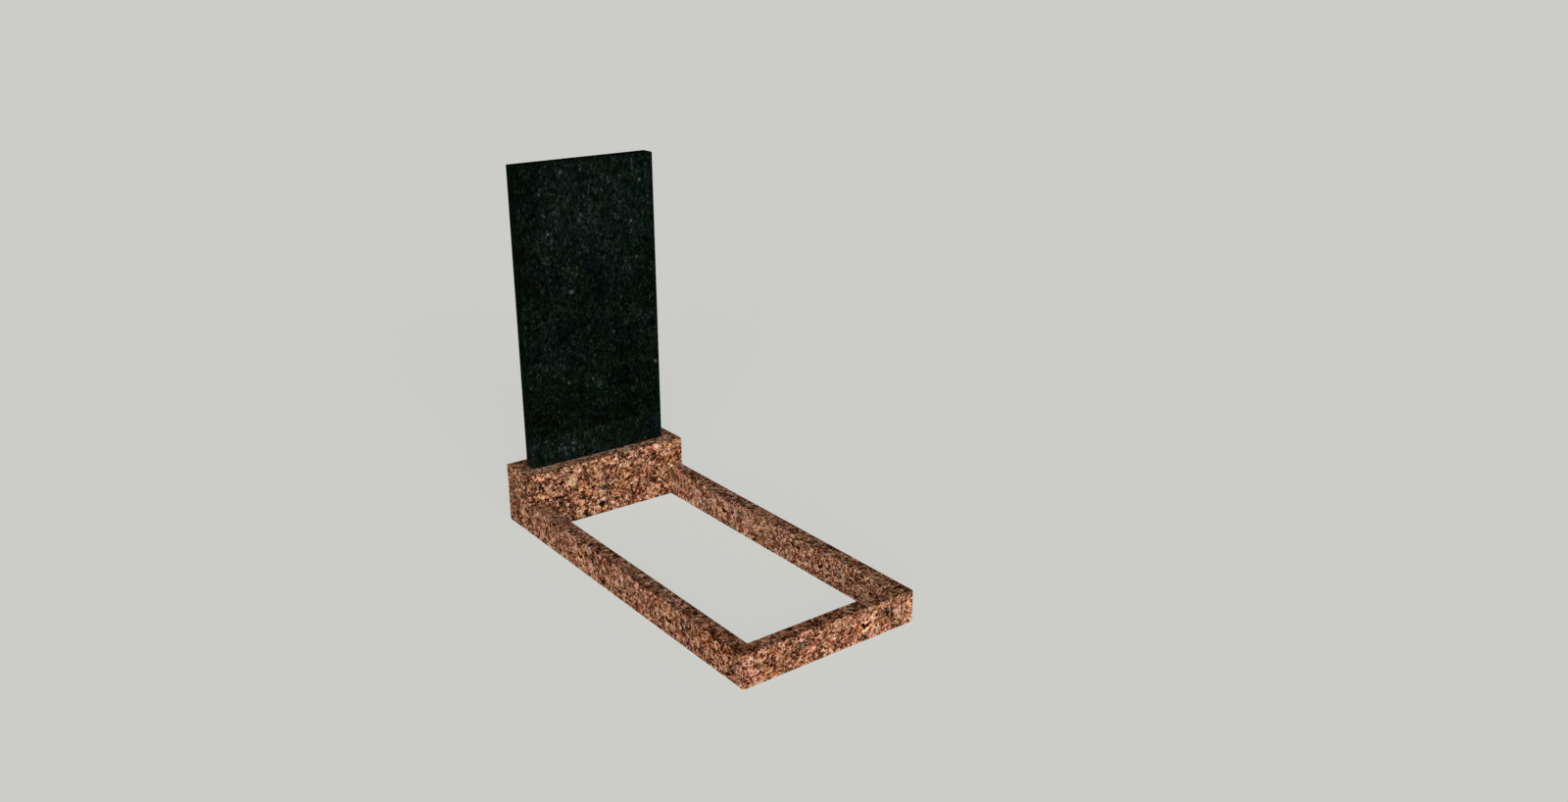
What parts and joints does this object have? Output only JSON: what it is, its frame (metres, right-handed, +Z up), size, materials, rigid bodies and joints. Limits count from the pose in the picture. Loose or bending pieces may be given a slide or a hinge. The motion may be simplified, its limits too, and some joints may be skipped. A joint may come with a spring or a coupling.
{
  "type": "upright headstone",
  "caption": "Upright rectangular granite slab on a low granite plinth, with a flower bed in front of it framed by granite kerbs.",
  "frame": {"origin": "on the ground, in the middle of the footprint", "axes": "+Z up, +Y towards the stele at the head of the bed, +X to the right of a visitor who faces the stele"},
  "size_m": [0.6, 1.3506, 1.2003],
  "materials": {
    "black_granite": "polished, near black with fine grey-green grain",
    "red_granite": "polished, coarse pink, orange, brown and black grain"
  },
  "bodies": {
    "root": {"stele": "black_granite", "plinth": "red_granite", "kerb_left": "red_granite", "kerb_right": "red_granite", "kerb_front": "red_granite"}
  },
  "joints": []
}
